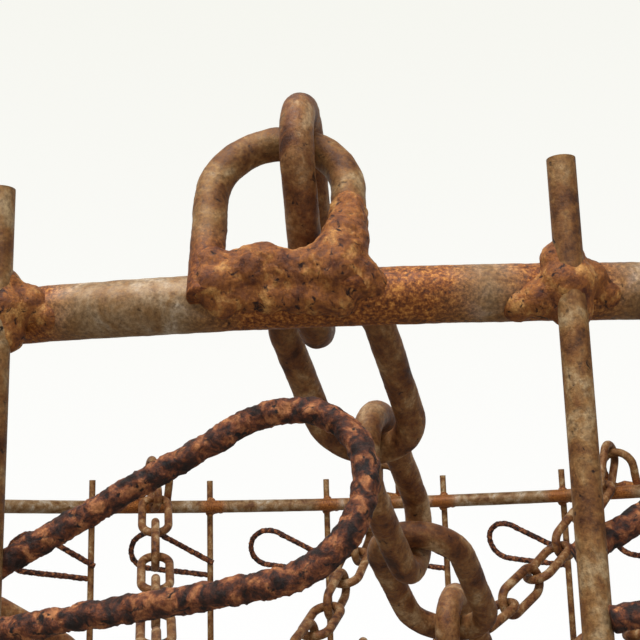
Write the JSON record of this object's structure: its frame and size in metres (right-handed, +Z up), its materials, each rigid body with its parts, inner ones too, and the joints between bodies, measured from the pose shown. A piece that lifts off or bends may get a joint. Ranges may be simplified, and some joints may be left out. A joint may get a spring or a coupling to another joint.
{
  "type": "disc golf basket",
  "caption": "Free-standing disc golf basket of rusted round bar: a ringed band with wire loops and chain swags, hanging chain curtain, wire tray, pole and bolt-down base.",
  "frame": {"origin": "on the ground under the centre of the pole", "axes": "+Z up, -Y towards the front bay"},
  "size_m": [0.6768, 0.6768, 1.3719],
  "materials": {
    "ring_bar": "round bar, rusted brown with rubbed bright patches",
    "wire": "drawn wire, rusted olive brown",
    "weld": "bare weld metal, orange rust",
    "loop_wire": "thin wire, flaked dark red-brown rust",
    "chain": "welded link chain, brown rust",
    "tube": "mild steel tube and bar, weathered rust",
    "plate": "flat plate, weathered rust",
    "fastener": "plated fastener, worn and rust stained"
  },
  "bodies": {
    "frame": {"base_plate": "plate", "gussets": "plate", "anchor_socket": "tube", "pole": "tube", "pole_cap": "tube", "tray_sleeve": "tube", "set_screws": "fastener", "tray_struts": "tube", "tray_floor_radials": "wire", "tray_floor_rings": "ring_bar", "tray_bottom_ring": "ring_bar", "tray_middle_ring": "ring_bar", "tray_rim": "ring_bar", "tray_uprights": "wire", "top_sleeve": "tube", "top_arms": "tube", "lower_ring": "ring_bar", "outer_ring": "ring_bar", "deflector_posts": "wire", "deflector_loops": "loop_wire", "chain_eyes": "wire", "weld_beads": "weld", "inner_ring": "ring_bar", "inner_ring_lugs": "wire", "inner_ring_struts": "wire"},
    "lock_pin": {"lock_pin": "fastener"},
    "outer_collector": {"outer_collector": "ring_bar"},
    "inner_collector": {"inner_collector": "ring_bar"},
    "swag_chain_01": {"swag_chain_01": "chain"},
    "swag_chain_02": {"swag_chain_02": "chain"},
    "swag_chain_03": {"swag_chain_03": "chain"},
    "swag_chain_04": {"swag_chain_04": "chain"},
    "swag_chain_05": {"swag_chain_05": "chain"},
    "swag_chain_06": {"swag_chain_06": "chain"},
    "swag_chain_07": {"swag_chain_07": "chain"},
    "swag_chain_08": {"swag_chain_08": "chain"},
    "swag_chain_09": {"swag_chain_09": "chain"},
    "swag_chain_10": {"swag_chain_10": "chain"},
    "swag_chain_11": {"swag_chain_11": "chain"},
    "swag_chain_12": {"swag_chain_12": "chain"},
    "curtain_chain_01": {"curtain_chain_01": "chain"},
    "curtain_chain_02": {"curtain_chain_02": "chain"},
    "curtain_chain_03": {"curtain_chain_03": "chain"},
    "curtain_chain_04": {"curtain_chain_04": "chain"},
    "curtain_chain_05": {"curtain_chain_05": "chain"},
    "curtain_chain_06": {"curtain_chain_06": "chain"},
    "curtain_chain_07": {"curtain_chain_07": "chain"},
    "curtain_chain_08": {"curtain_chain_08": "chain"},
    "curtain_chain_09": {"curtain_chain_09": "chain"},
    "curtain_chain_10": {"curtain_chain_10": "chain"},
    "curtain_chain_11": {"curtain_chain_11": "chain"},
    "curtain_chain_12": {"curtain_chain_12": "chain"},
    "inner_chain_1": {"inner_chain_1": "chain"},
    "inner_chain_2": {"inner_chain_2": "chain"},
    "inner_chain_3": {"inner_chain_3": "chain"},
    "inner_chain_4": {"inner_chain_4": "chain"},
    "inner_chain_5": {"inner_chain_5": "chain"},
    "inner_chain_6": {"inner_chain_6": "chain"}
  },
  "joints": [
    {"name": "lock_pin_slide", "type": "slide", "parent": "frame", "child": "lock_pin", "axis": [0, -1, 0], "range_m": [0, 0.08]},
    {"name": "outer_collector_lift", "type": "slide", "parent": "frame", "child": "outer_collector", "axis": [0, 0, 1], "range_m": [0, 0.001]},
    {"name": "inner_collector_lift", "type": "slide", "parent": "frame", "child": "inner_collector", "axis": [0, 0, 1], "range_m": [0, 0.001]},
    {"name": "swag_chain_01_swing", "type": "hinge", "parent": "frame", "child": "swag_chain_01", "pos_m": [0.0032, -0.28818, 1.36389], "axis": [0.2196, 0.7953, -0.565], "range_deg": [-5, 5]},
    {"name": "swag_chain_02_swing", "type": "hinge", "parent": "frame", "child": "swag_chain_02", "pos_m": [0.14686, -0.24797, 1.36389], "axis": [-0.2075, 0.7985, -0.565], "range_deg": [-5, 5]},
    {"name": "swag_chain_03_swing", "type": "hinge", "parent": "frame", "child": "swag_chain_03", "pos_m": [0.25117, -0.14132, 1.36389], "axis": [-0.579, 0.5878, -0.565], "range_deg": [-5, 5]},
    {"name": "swag_chain_04_swing", "type": "hinge", "parent": "frame", "child": "swag_chain_04", "pos_m": [0.28818, 0.0032, 1.36389], "axis": [-0.7953, 0.2196, -0.565], "range_deg": [-5, 5]},
    {"name": "swag_chain_05_swing", "type": "hinge", "parent": "frame", "child": "swag_chain_05", "pos_m": [0.24797, 0.14686, 1.36389], "axis": [-0.7985, -0.2075, -0.565], "range_deg": [-5, 5]},
    {"name": "swag_chain_06_swing", "type": "hinge", "parent": "frame", "child": "swag_chain_06", "pos_m": [0.14132, 0.25117, 1.36389], "axis": [-0.5878, -0.579, -0.565], "range_deg": [-5, 5]},
    {"name": "swag_chain_07_swing", "type": "hinge", "parent": "frame", "child": "swag_chain_07", "pos_m": [-0.0032, 0.28818, 1.36389], "axis": [-0.2196, -0.7953, -0.565], "range_deg": [-5, 5]},
    {"name": "swag_chain_08_swing", "type": "hinge", "parent": "frame", "child": "swag_chain_08", "pos_m": [-0.14686, 0.24797, 1.36389], "axis": [0.2075, -0.7985, -0.565], "range_deg": [-5, 5]},
    {"name": "swag_chain_09_swing", "type": "hinge", "parent": "frame", "child": "swag_chain_09", "pos_m": [-0.25117, 0.14132, 1.36389], "axis": [0.579, -0.5878, -0.565], "range_deg": [-5, 5]},
    {"name": "swag_chain_10_swing", "type": "hinge", "parent": "frame", "child": "swag_chain_10", "pos_m": [-0.28818, -0.0032, 1.36389], "axis": [0.7953, -0.2196, -0.565], "range_deg": [-5, 5]},
    {"name": "swag_chain_11_swing", "type": "hinge", "parent": "frame", "child": "swag_chain_11", "pos_m": [-0.24797, -0.14686, 1.36389], "axis": [0.7985, 0.2075, -0.565], "range_deg": [-5, 5]},
    {"name": "swag_chain_12_swing", "type": "hinge", "parent": "frame", "child": "swag_chain_12", "pos_m": [-0.14132, -0.25117, 1.36389], "axis": [0.5878, 0.579, -0.565], "range_deg": [-5, 5]},
    {"name": "curtain_chain_01_swing", "type": "hinge", "parent": "frame", "child": "curtain_chain_01", "pos_m": [0, -0.292, 1.194], "axis": [0, 0.5395, -0.842], "range_deg": [-12, 12]},
    {"name": "curtain_chain_02_swing", "type": "hinge", "parent": "frame", "child": "curtain_chain_02", "pos_m": [0.146, -0.25288, 1.194], "axis": [-0.2697, 0.4672, -0.842], "range_deg": [-12, 12]},
    {"name": "curtain_chain_03_swing", "type": "hinge", "parent": "frame", "child": "curtain_chain_03", "pos_m": [0.25288, -0.146, 1.194], "axis": [-0.4672, 0.2697, -0.842], "range_deg": [-12, 12]},
    {"name": "curtain_chain_04_swing", "type": "hinge", "parent": "frame", "child": "curtain_chain_04", "pos_m": [0.292, 0, 1.194], "axis": [-0.5395, 0, -0.842], "range_deg": [-12, 12]},
    {"name": "curtain_chain_05_swing", "type": "hinge", "parent": "frame", "child": "curtain_chain_05", "pos_m": [0.25288, 0.146, 1.194], "axis": [-0.4672, -0.2697, -0.842], "range_deg": [-12, 12]},
    {"name": "curtain_chain_06_swing", "type": "hinge", "parent": "frame", "child": "curtain_chain_06", "pos_m": [0.146, 0.25288, 1.194], "axis": [-0.2697, -0.4672, -0.842], "range_deg": [-12, 12]},
    {"name": "curtain_chain_07_swing", "type": "hinge", "parent": "frame", "child": "curtain_chain_07", "pos_m": [0, 0.292, 1.194], "axis": [0, -0.5395, -0.842], "range_deg": [-12, 12]},
    {"name": "curtain_chain_08_swing", "type": "hinge", "parent": "frame", "child": "curtain_chain_08", "pos_m": [-0.146, 0.25288, 1.194], "axis": [0.2697, -0.4672, -0.842], "range_deg": [-12, 12]},
    {"name": "curtain_chain_09_swing", "type": "hinge", "parent": "frame", "child": "curtain_chain_09", "pos_m": [-0.25288, 0.146, 1.194], "axis": [0.4672, -0.2697, -0.842], "range_deg": [-12, 12]},
    {"name": "curtain_chain_10_swing", "type": "hinge", "parent": "frame", "child": "curtain_chain_10", "pos_m": [-0.292, 0, 1.194], "axis": [0.5395, 0, -0.842], "range_deg": [-12, 12]},
    {"name": "curtain_chain_11_swing", "type": "hinge", "parent": "frame", "child": "curtain_chain_11", "pos_m": [-0.25288, -0.146, 1.194], "axis": [0.4672, 0.2697, -0.842], "range_deg": [-12, 12]},
    {"name": "curtain_chain_12_swing", "type": "hinge", "parent": "frame", "child": "curtain_chain_12", "pos_m": [-0.146, -0.25288, 1.194], "axis": [0.2697, 0.4672, -0.842], "range_deg": [-12, 12]},
    {"name": "inner_chain_1_swing", "type": "hinge", "parent": "frame", "child": "inner_chain_1", "pos_m": [0.00995, -0.12913, 1.25693], "axis": [-0.0176, 0.2286, -0.9734], "range_deg": [-12, 12]},
    {"name": "inner_chain_2_swing", "type": "hinge", "parent": "frame", "child": "inner_chain_2", "pos_m": [0.11681, -0.05595, 1.25693], "axis": [-0.2068, 0.099, -0.9734], "range_deg": [-12, 12]},
    {"name": "inner_chain_3_swing", "type": "hinge", "parent": "frame", "child": "inner_chain_3", "pos_m": [0.10686, 0.07318, 1.25693], "axis": [-0.1891, -0.1295, -0.9734], "range_deg": [-12, 12]},
    {"name": "inner_chain_4_swing", "type": "hinge", "parent": "frame", "child": "inner_chain_4", "pos_m": [-0.00995, 0.12913, 1.25693], "axis": [0.0176, -0.2286, -0.9734], "range_deg": [-12, 12]},
    {"name": "inner_chain_5_swing", "type": "hinge", "parent": "frame", "child": "inner_chain_5", "pos_m": [-0.11681, 0.05595, 1.25693], "axis": [0.2068, -0.099, -0.9734], "range_deg": [-12, 12]},
    {"name": "inner_chain_6_swing", "type": "hinge", "parent": "frame", "child": "inner_chain_6", "pos_m": [-0.10686, -0.07318, 1.25693], "axis": [0.1891, 0.1295, -0.9734], "range_deg": [-12, 12]}
  ]
}
